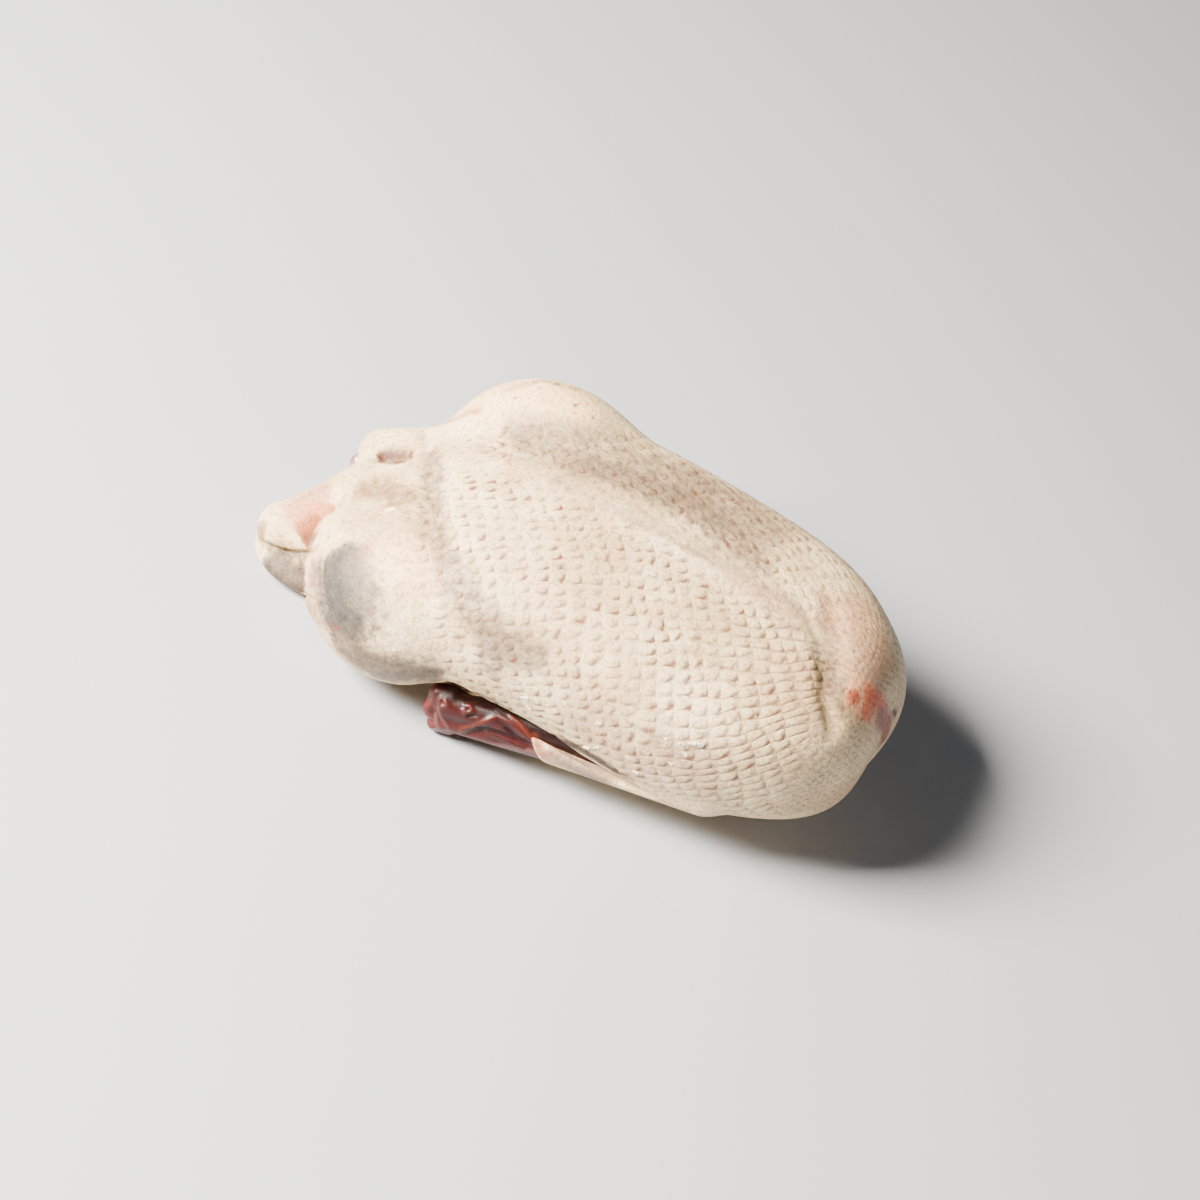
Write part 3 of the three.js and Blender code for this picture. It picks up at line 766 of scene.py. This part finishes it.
def pit_shape(graph, place, ruffle=0.0):
    """One feather pit: its swelling, the groove round its lower edge, the seam to the next one,
    and a random number for each pit."""
    parts = [graph.node("ShaderNodeSeparateXYZ", None, {0: place}, n) for n in range(2)]
    cells = [part.floor() for part in parts]
    u, v = (part - cell - 0.5 for part, cell in zip(parts, cells))
    cell = graph.node("ShaderNodeCombineXYZ", None, {0: cells[0], 1: cells[1]})
    chances = graph.node("ShaderNodeTexWhiteNoise", {"noise_dimensions": "3D"}, {"Vector": cell}, 1)
    shift = [graph.node("ShaderNodeSeparateXYZ", None, {0: chances}, n) for n in range(3)]
    dome = (1 - u * u * 4).maths("MAXIMUM", 0.0) * (1 - v * v * 4).maths("MAXIMUM", 0.0)
    seam = (v.maths("ABSOLUTE") - 0.5).bell(SEAM_WIDTH)
    end_seam = (u.maths("ABSOLUTE") - 0.5).bell(END_SEAM_WIDTH) * END_SEAM
    seam = seam.maths("MAXIMUM", end_seam)
    u, v = u + (shift[0] - 0.5) * PIT_STRAY, v + (shift[1] - 0.5) * PIT_STRAY
    from_middle = (u * u + v * v) ** 0.5 + ruffle
    groove = (from_middle - PIT_RADIUS).bell(GROOVE_WIDTH) * ((u + v) * 1.8 - 0.1).clamped() ** 1.3
    return dome, groove, seam, shift[2]


class Finish(Graph):
    """A material under construction, with the shader's own constant values set straight on it."""

    def __init__(self, name, **constants):
        self.material = bpy.data.materials.new(name)
        self.material.use_nodes = True
        super().__init__(self.material.node_tree)
        self.shader = self.tree.nodes["Principled BSDF"]
        for key, value in constants.items():
            self.shader.inputs[key.replace("_", " ")].default_value = value
        self.position = self.node("ShaderNodeTexCoord", None, None, 3)

    def attribute(self, name, output):
        return self.node("ShaderNodeAttribute", {"attribute_name": name}, None, output)

    def feed(self, **wires):
        for key, value in wires.items():
            self.tree.links.new(value.socket, self.shader.inputs[key.replace("_", " ")])

    def bump(self, height):
        """Height in metres."""
        self.feed(Normal=self.node("ShaderNodeBump", None, {"Height": height, "Distance": 1.0}))


# %% [markdown]
# Raised skin. A pit is a soft swelling with a groove behind it where the feather sat. Bump alone
# wouldn't be in the mesh itself, so Geometry Nodes raise the pits over the whole breast, from the
# lattice that each corner carries.

# %% Geometry Nodes that raise the feather pits
def new_tree(name, inputs):
    """A tree with named inputs, and a wire from each of them."""
    tree = bpy.data.node_groups.new(name, "GeometryNodeTree")
    for key, kind in inputs.items():
        tree.interface.new_socket(key, in_out="INPUT", socket_type="NodeSocket" + kind)
    tree.interface.new_socket("Geometry", in_out="OUTPUT", socket_type="NodeSocketGeometry")
    graph = Graph(tree)
    return graph, [graph.node("NodeGroupInput", None, None, n) for n in range(len(inputs))]


def closed_tree(graph, geometry, finish):
    whole = graph.node("GeometryNodeRealizeInstances", None, {0: geometry})
    finished = graph.node("GeometryNodeSetMaterial", None, {"Geometry": whole, "Material": finish})
    graph.node("NodeGroupOutput", None, {0: finished})
    return graph.tree


def named(graph, name, kind="FLOAT"):
    return graph.node("GeometryNodeInputNamedAttribute", {"data_type": kind}, {"Name": name})


def pit_tree():
    graph, (skin_in, swelling, groove_depth, seam_depth, fine_depth, finish) = new_tree("feather_pits", {
        "Geometry": "Geometry", "Swelling": "Float", "Groove": "Float", "Seam": "Float",
        "Fine groove": "Float", "Finish": "Material"})
    dome, groove, seam, chance = pit_shape(graph, named(graph, "lattice", "FLOAT_VECTOR"))
    fine_groove = pit_shape(graph, named(graph, "fine_lattice", "FLOAT_VECTOR"))[1]
    share = chance * 0.6 + 0.7
    swell = dome * swelling * share - groove * groove_depth * share
    height = swell * named(graph, "pits") - seam * seam_depth * named(graph, "creased")
    height = height - fine_groove * fine_depth * named(graph, "fine_pits")
    offset = graph.node("GeometryNodeInputNormal").scaled(height)
    moved = graph.node("GeometryNodeSetPosition", None, {"Geometry": skin_in, "Offset": offset})
    return closed_tree(graph, moved, finish)


def run_tree(piece, tree, values):
    """Runs a Geometry Nodes tree on a piece and returns the result as a plain mesh."""
    modifier = piece.modifiers.new("tree", "NODES")
    modifier.node_group = tree
    for item in tree.interface.items_tree:
        if item.in_out == "INPUT" and item.name in values:
            modifier[item.identifier] = values[item.name]
    evaluated = piece.evaluated_get(bpy.context.evaluated_depsgraph_get())
    result = bpy.data.meshes.new_from_object(evaluated)
    piece.modifiers.remove(modifier)
    return result


pits_tree = pit_tree()
print("feather pits:", len(pits_tree.nodes), "nodes")

# %% [markdown]
# The skin's finish. Raw duck skin is thin, moist, satin and a little see-through over white fat:
# cream with pink and grey clouds, and brown in the pits. The lower side of each pit's groove, the
# creases between pits and the fine grooves near the neck are also darkened as painted shade. A
# photograph laid over it would bring its shadows along, so noises make clouds and grain.

# %% Finish of the skin
CREAM, PINK, GREY = ((206, 174, 130), (242, 214, 168)), (224, 166, 120), (184, 160, 122)
# The pits' brown is their own colour with painted shade on the lower side of their grooves. The seam and
# fine groove colours are painted shade in the creases between pits and in the fine grooves near the neck.
PIT_BROWN_AND_SHADE, SEAM_SHADE, FLUSH, FINE_GROOVE_SHADE = (82, 48, 26), (104, 70, 44), (150, 66, 36), (110, 72, 44)
BLACK, BROWN, RED = (22, 14, 10), (112, 62, 34), (120, 36, 24)
# Each spot is a pixel, a radius and a colour.
SPOTS = [
    ((343, 522), 1.1, BLACK), ((333, 555), 1.1, BLACK), ((817, 555), 1.0, BLACK), ((593, 418), 1.2, BROWN),
    ((895, 713), 1.3, BLACK), ((557, 384), 1.3, BROWN), ((575, 405), 1.3, BROWN), ((504, 456), 1.6, BROWN),
    ((515, 398), 1.2, BROWN), ((540, 388), 1.0, BROWN), ((338, 628), 1.5, RED), ((722, 668), 1.8, BROWN),
    ((328, 537), 1.3, BROWN), ((751, 521), 0.9, BLACK), ((626, 440), 0.9, BROWN), ((470, 440), 1.2, BROWN),
]


def skin_finish():
    f = Finish("duck_skin", Subsurface_Weight=0.08, Subsurface_Scale=0.002,
               Subsurface_Radius=(1.0, 0.45, 0.3), Coat_Roughness=0.25)
    colour = f.mixed(f.noise(f.position, 24, 5, 0.6).above(0.4, 5), *CREAM)
    colour = f.mixed(f.noise(f.position, 62, 5, 0.6).above(0.54, 6) * 0.4, colour, PINK)
    colour = f.mixed(f.noise(f.position, 78, 5, 0.65).above(0.52, 7) * 0.5, colour, GREY)
    ragged = f.noise(f.position, 200, 6, 0.75)
    cover = f.attribute("paint", 3)
    edge = (cover + (ragged - 0.5) * cover * (1 - cover) * 10).clamped()
    colour = f.mixed(edge, colour, f.attribute("paint", 0))
    grain = f.noise(f.position, 480, 5, 0.75)
    darker = colour.vector("MULTIPLY", (0.42, 0.28, 0.16))
    colour = f.mixed(grain.above(0.51, 12) * 0.6, colour, darker)
    speck = f.noise(f.position, 800, 3, 0.7)
    lighter = colour.vector("MULTIPLY_ADD", (1.1, 1.2, 1.3), (0.05, 0.04, 0.03))
    colour = f.mixed(speck.above(0.53, 12) * 0.8, colour, lighter)
    pits, fine, creased = (f.attribute(name, 2) for name in ("pits", "fine_pits", "creased"))
    ruffle = (ragged - 0.5) * 0.9
    dome, groove, seam, chance = pit_shape(f, f.attribute("lattice", 1), ruffle)
    fine_dome, fine_groove, _, fine_chance = pit_shape(f, f.attribute("fine_lattice", 1), ruffle)
    broken = (ragged * 3.2 - 0.9).clamped()
    # Brown and painted shade in the pit grooves, on their lower side, then painted shade in the creases
    # between pits.
    darkness = groove * pits * (chance * 0.7 + 0.6) * (broken * 0.6 + 0.4)
    colour = f.mixed((darkness * 1.5).clamped() * 0.9, colour, PIT_BROWN_AND_SHADE)
    colour = f.mixed((seam * creased * broken * 0.8).clamped(), colour, SEAM_SHADE)
    flushed = (chance - 0.8).maths("MAXIMUM", 0.0) * 5 * groove * pits * broken
    colour = f.mixed(flushed.clamped() * 0.8, colour, FLUSH)
    for pixel, radius, dark in SPOTS:
        gap = f.position.vector("DISTANCE", (skin.pinned(pixel) - ORIGIN) * MM, output=1)
        mark = (gap / (radius * MM) + (ragged - 0.5) * 0.8).bell(0.8)
        colour = f.mixed(mark.clamped() * 0.95, colour, dark)
    # Painted shade in the fine grooves near the neck.
    fine_groove_shade = fine_groove * fine * (fine_chance * 0.8 + 0.1) * broken
    colour = f.mixed(fine_groove_shade.clamped(), colour, FINE_GROOVE_SHADE)
    f.feed(Base_Color=colour)
    f.feed(Roughness=0.34 + f.noise(f.position, 140, 3) * 0.3 + groove * pits * 0.1)
    height = (dome * 0.08 - groove * 0.12) * pits - seam * creased * broken * 0.3
    height = height + (fine_dome * 0.10 - fine_groove * 0.25) * fine
    f.bump((height + grain * 0.5 + ragged * 0.6 + speck * 0.12) * MM)
    return f.material


skin_material = skin_finish()
print("finish of the skin:", len(skin_material.node_tree.nodes), "nodes")

# %% The skin as one piece
RELIEF = {"Swelling": 0.15 * MM, "Groove": 0.2 * MM, "Seam": 0.18 * MM, "Fine groove": 0.25 * MM}
base = skin.piece("skin_base", lattice=lattice(skin.corners), fine_lattice=fine_lattice(skin.corners),
                  pits=coarse_pits, fine_pits=fine_pits, creased=creased, quills=quills)
raised = run_tree(base, pits_tree, {**RELIEF, "Finish": skin_material})
bpy.data.objects.remove(base)
skin_piece = show("skin", raised)
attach(skin_piece, "root")
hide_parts("carcass")
print("skin piece:", len(raised.polygons), "faces")

# %% [markdown]
# Quill stubs. Plucking leaves some short pale stubs in the skin, mostly along the flank's lower
# edge. Geometry Nodes scatter about twenty small cones, which is quicker to change than placing
# them by hand. The quills attribute says how thickly they stand.

# %% Quill stubs by Geometry Nodes
STUB_AIM, STUB_LIFT, STUB_STRAY = (-0.95, 0.0, 0.3), 0.3, 0.45
STUB_SIDES, SHORTEST, LONGEST = 6, 0.45, 1.3
STUBS = {"Stubs per square metre": 16000.0, "Length": 3.2 * MM, "Thickness": 0.85 * MM, "Seed": 11}


def quill_tree():
    graph, (skin_in, crowd, length, thickness, seed, finish) = new_tree("quill_stubs", {
        "Geometry": "Geometry", "Stubs per square metre": "Float", "Length": "Float",
        "Thickness": "Float", "Seed": "Int", "Finish": "Material"})
    points = graph.node("GeometryNodeDistributePointsOnFaces", None, {
        "Mesh": skin_in, "Density": named(graph, "quills") * crowd, "Seed": seed})
    normal = Wire(graph, points.socket.node.outputs["Normal"])
    stray = graph.node("FunctionNodeRandomValue", {"data_type": "FLOAT_VECTOR"},
                       {0: (-STUB_STRAY,) * 3, 1: (STUB_STRAY,) * 3, "Seed": seed})
    aim = normal.scaled(STUB_LIFT).vector("ADD", STUB_AIM).vector("ADD", stray)
    turned = graph.node("FunctionNodeAlignRotationToVector", {"axis": "Z"}, {"Vector": aim})
    sized = graph.node("FunctionNodeRandomValue", {"data_type": "FLOAT"},
                       {2: SHORTEST, 3: LONGEST, "Seed": seed}, 1)
    stub = graph.node("GeometryNodeMeshCone", None, {
        "Vertices": STUB_SIDES, "Radius Top": thickness * 0.5, "Radius Bottom": thickness, "Depth": length})
    placed = graph.node("GeometryNodeInstanceOnPoints", None, {
        "Points": points, "Instance": stub, "Rotation": turned, "Scale": sized})
    return closed_tree(graph, placed, finish)


def quill_finish():
    f = Finish("quill_stub", Coat_Weight=0.3, Coat_Roughness=0.2)
    tint = f.noise(f.position, 300, 2)
    f.feed(Base_Color=f.mixed(tint, (235, 215, 190), (255, 253, 246)), Roughness=0.3 + tint * 0.2)
    return f.material


stubs = run_tree(skin_piece, quill_tree(), {**STUBS, "Finish": quill_finish()})
quill_piece = show("quill_stubs", stubs)
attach(quill_piece, "root")
print("quill stubs:", len(stubs.polygons) // (STUB_SIDES + 2))

# %% [markdown]
# The bared wing. It was cut off at the elbow, and the muscles of the upper arm show: wet dark red
# strands, with pearly joint knobs and cut tendons at the end. Separate tubes would meet in hard
# creases, so they are another field, modelled and painted by the same strokes.

# %% Muscles and knobs of the cut wing
def flesh_field(p):
    strands = [capsule(p, wing_point(FLESH_REACH, u, o), wing_point(0, u, o), r) for u, o, r in MUSCLES]
    return blend(blend(strands[0], strands[1], 2), strands[2], 2)


def knuckle_field(p):
    knobs = [capsule(p, wing_point(a, u, o), wing_point(a + KNOB_DEPTH, u, o), (r, r))
             for a, u, o, r in KNOBS]
    return blend(blend(knobs[0], knobs[1], 4), knobs[2], 4)


def stump_field(p):
    return blend(flesh_field(p), knuckle_field(p), 2)


FLESH_ROOM = (-62, -102, -4), (52, -46, 60)
WET_GLOSS = 6.5
flesh = Sculpt(*surface(stump_field, *FLESH_ROOM, FLESH_CELL), WET_GLOSS)
# Each row is a path of pixels, a half width, a height, a colour and the share of it that covers.
FLESH_STROKES = [
    ([(430, 700), (480, 720), (545, 750)], 16, 0, (146, 44, 46), 0.9),
    # Painted shade over the top of the stump, under the edge of the body's skin.
    ([(440, 690), (480, 702), (520, 722), (560, 742), (600, 765)], 6.5, 0, (46, 28, 26), 0.97),
    ([(532, 732), (541, 757)], 3, 0, (196, 128, 104), 0.9),
    # A sunk hollow at the top, also darkened as painted shade.
    ([(455, 692), (475, 698), (498, 706)], 4, -1.2, (56, 38, 36), 0.95),
    ([(462, 740), (496, 745), (530, 752), (545, 757)], 2.4, 0.5, (214, 188, 184), 0.85),
    ([(455, 734), (463, 729), (484, 722), (497, 716)], 1.8, 1.1, (206, 116, 92), 0.9),
    ([(462, 735), (487, 729), (513, 737), (530, 747)], 2, -0.9, (120, 34, 38), 0.9),
    ([(484, 731), (506, 740), (526, 749)], 1.5, 0.9, (172, 84, 80), 0.8),
    ([(496, 715), (510, 722), (524, 734), (540, 750)], 1.6, 0.9, (188, 88, 74), 0.85),
    ([(504, 726), (512, 733), (520, 741)], 1.4, -1.3, (70, 32, 44), 0.9),
    ([(508, 714), (520, 724), (532, 738), (545, 755)], 1.3, 0.8, (222, 140, 108), 0.85),
    ([(466, 716), (478, 716)], 1.8, -1, (80, 40, 42), 0.9),
    ([(444, 698), (448, 706), (441, 707), (439, 700), (444, 697)], 1.5, 1, (214, 136, 116), 0.9),
    ([(463, 706), (470, 706), (472, 711), (465, 713), (462, 708)], 1.5, 1, (206, 110, 88), 0.9),
    ([(467, 709), (469, 710)], 1.2, -1, (90, 34, 36), 0.9),
    ([(437, 706), (442, 718), (450, 730), (455, 735)], 1.1, 0.7, (224, 190, 184), 0.8),
    ([(436, 712), (437, 724), (446, 736)], 1.1, 0.7, (228, 198, 192), 0.8),
    ([(428, 689), (430, 695)], 3, 0, (206, 160, 158), 0.85),
    ([(429, 706), (431, 714)], 3.2, 0, (172, 108, 112), 0.85),
    ([(433, 728), (440, 735)], 3, 0, (226, 212, 216), 0.9),
    ([(429, 698), (431, 701)], 1, -1.2, (230, 206, 204), 0.9),
    ([(431, 720), (434, 722)], 1, -1.2, (222, 196, 192), 0.9),
]
for path, half, height, colour, cover in FLESH_STROKES:
    flesh.stroke(path, half, height, colour, cover)
print("wing stump:", len(flesh.faces), "faces,", len(FLESH_STROKES), "strokes")

# %% [markdown]
# The finish of raw flesh: dark red fibres along the wing under a thin wet veil. A stretched noise
# gives them without repeating. The far stump isn't seen, so it is the near one mirrored.

# %% Finish of the raw flesh
def flesh_finish():
    f = Finish("raw_flesh", Subsurface_Weight=0.05, Subsurface_Scale=0.001, Coat_Weight=0.06,
               Subsurface_Radius=(1.0, 0.3, 0.25), Coat_Roughness=0.15, Specular_IOR_Level=0.25)
    stretch = f.node("ShaderNodeMapping", None, {"Vector": f.position, "Scale": (0.25, 1.0, 1.0)})
    fibres = f.noise(stretch, 700, 4, 0.6)
    colour = f.mixed(fibres, (56, 14, 14), (104, 30, 28))
    veil = f.noise(f.position, 160, 4, 0.6)
    colour = f.mixed(veil.above(0.57, 4) * 0.3, colour, (132, 58, 54))
    cover = f.attribute("paint", 3)
    ragged = f.noise(f.position, 600, 4, 0.7)
    edge = (cover + (ragged - 0.5) * cover * (1 - cover) * 3).clamped()
    colour = f.mixed(edge * 0.92, colour, f.attribute("paint", 0))
    f.feed(Base_Color=colour, Roughness=0.3 + ragged * 0.25)
    f.bump((fibres * 0.25 + ragged * 0.12) * MM)
    return f.material


flesh_material = flesh_finish()


def place_stump(name, side, nodes):
    piece = flesh.piece(name)
    if side == "far":
        place = np.array([v.co for v in piece.data.vertices]) + ORIGIN * MM
        place[:, 1] *= -1
        piece.data.vertices.foreach_set("co", (place - ORIGIN * MM).astype(np.float32).ravel())
        piece.data.flip_normals()
    piece.data.materials.append(flesh_material)
    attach(piece, "root")
    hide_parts(*nodes)


for side in ("near", "far"):
    place_stump(f"wing_stump_{side}", side, [f"wing_flesh_{side}", f"wing_knuckle_{side}"])
print("two wing stumps with", len(flesh_material.node_tree.nodes), "nodes in their finish")

# %% [markdown]
# The bone end at the far hock is a small wet knob mottled pink and purple. Its solid is round
# enough already, so it stays and only gets a better finish.

# %% Finish of the bone
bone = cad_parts["shin_bone_far"]
f = Finish("bone_end", Coat_Weight=0.4)
mottle = f.noise(f.position, 260, 4)
colour = f.mixed(mottle.above(0.3, 2.5), (84, 44, 48), (176, 130, 130))
f.feed(Base_Color=colour, Roughness=0.25 + mottle * 0.2)
bone.data.materials.clear()
bone.data.materials.append(f.material)
print("finish of the bone:", len(f.tree.nodes), "nodes")

# %% [markdown]
# Floor and light. The photograph is a cut-out, so a plain pale floor takes the shadow, and the
# lamps are those that the paint was worked out for.

# %% Floor and light
FLOOR_SIDE, KEY_SIDE, FILL_SIDE, LAMP_DISTANCE = 6, 0.6, 1.6, 1.6
LAMP_TARGET = Vector((0, 0, 0.06))
bpy.ops.mesh.primitive_plane_add(size=FLOOR_SIDE)
floor = bpy.context.object
floor.name = "floor"
pale = Finish("pale_floor")
streaks = pale.noise(pale.position, 3)
pale.feed(Base_Color=pale.mixed(streaks, (168, 172, 179), (174, 178, 185)),
          Roughness=0.6 + pale.noise(pale.position, 40) * 0.1)
floor.data.materials.append(pale.material)


def soft_light(name, direction, power, side, colour=(1, 1, 1)):
    light = show(name, bpy.data.lights.new(name, "AREA"))
    light.data.energy, light.data.size, light.data.color = power, side, colour
    direction = Vector(direction).normalized()
    light.location = LAMP_TARGET + direction * LAMP_DISTANCE
    light.rotation_euler = direction.to_track_quat("Z", "Y").to_euler()


soft_light("key", KEY_DIRECTION, KEY_POWER, KEY_SIDE, KEY_COLOUR)
soft_light("fill", 0.8 * cam_right - 0.2 * cam_up + 0.6 * towards, FILL_POWER, FILL_SIDE)
world = bpy.data.worlds.new("studio")
bpy.context.scene.world = world
world.use_nodes = True
background = world.node_tree.nodes["Background"].inputs
background["Color"].default_value = (1, 1, 1, 1)
background["Strength"].default_value = WORLD_STRENGTH
print("floor, two lamps and a pale sky")
